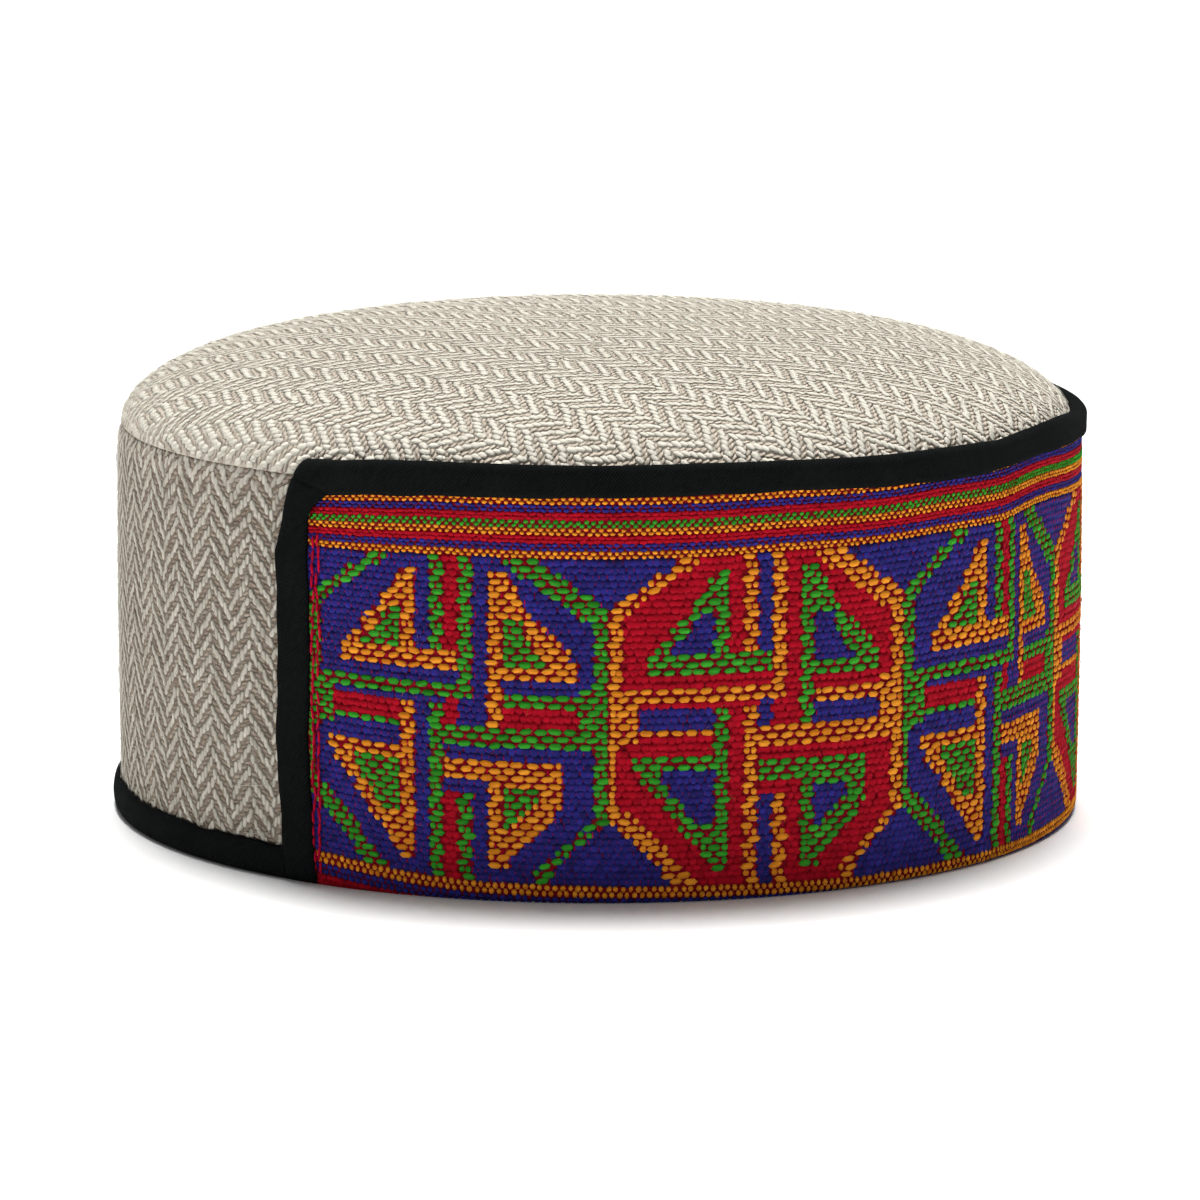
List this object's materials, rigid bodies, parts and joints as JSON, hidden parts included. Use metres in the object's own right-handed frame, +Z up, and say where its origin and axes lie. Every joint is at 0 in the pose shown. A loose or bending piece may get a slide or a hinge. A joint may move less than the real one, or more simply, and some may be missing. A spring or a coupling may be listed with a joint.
{
  "type": "kullu cap",
  "caption": "Round wool cap with a cushioned crown, upright herringbone side wall, woven patterned front band and black tape bindings, hollow and open below for a head.",
  "frame": {"origin": "centre of the cap's box on the surface that its rim rests on", "axes": "+Z up through the crown, -Y towards the middle of the front band, +X to the wearer's left as the band is faced"},
  "size_m": [0.193, 0.1911, 0.0953],
  "materials": {
    "crown_wool": "herringbone wool, soft and slightly milled",
    "wall_wool": "herringbone wool, soft and slightly milled",
    "band_weave": "acrylic and wool yarn pattern woven in raised floats",
    "black_tape": "fine cotton twill tape"
  },
  "bodies": {
    "root": {"crown": "crown_wool", "side_wall": "wall_wool", "front_band": "band_weave", "band_top_binding": "black_tape", "band_end_binding_left": "black_tape", "band_end_binding_right": "black_tape", "rim_binding": "black_tape"}
  },
  "joints": []
}
